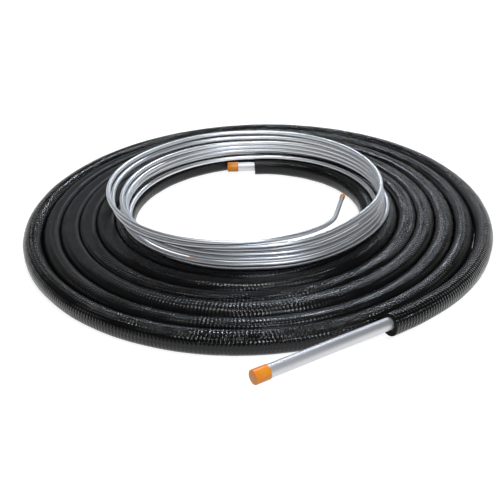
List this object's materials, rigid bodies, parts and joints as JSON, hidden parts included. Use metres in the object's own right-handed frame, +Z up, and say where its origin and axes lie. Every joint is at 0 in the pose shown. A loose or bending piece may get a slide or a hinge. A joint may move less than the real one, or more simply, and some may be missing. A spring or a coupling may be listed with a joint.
{
  "type": "refrigerant line set",
  "caption": "Flat coil of foam-covered suction tube with a bare liquid tube wound in a ring on its inner turns, both ends capped.",
  "frame": {"origin": "on the floor, below the middle of the bounding box", "axes": "+Z up out of the floor, +X to the right and +Y away from the bare outer end, with the coil lying flat"},
  "size_m": [1.011, 1.111, 0.113],
  "materials": {
    "foam_jacket": "embossed black polyethylene foam jacket, slightly glossy",
    "suction_metal": "drawn, satin",
    "liquid_metal": "drawn, satin",
    "cap_plastic": "moulded orange plastic"
  },
  "bodies": {
    "root": {"suction_insulation": "foam_jacket", "suction_tube": "suction_metal", "outer_suction_cap": "cap_plastic", "inner_suction_cap": "cap_plastic", "liquid_tube": "liquid_metal", "upper_liquid_cap": "cap_plastic", "lower_liquid_cap": "cap_plastic"}
  },
  "joints": []
}
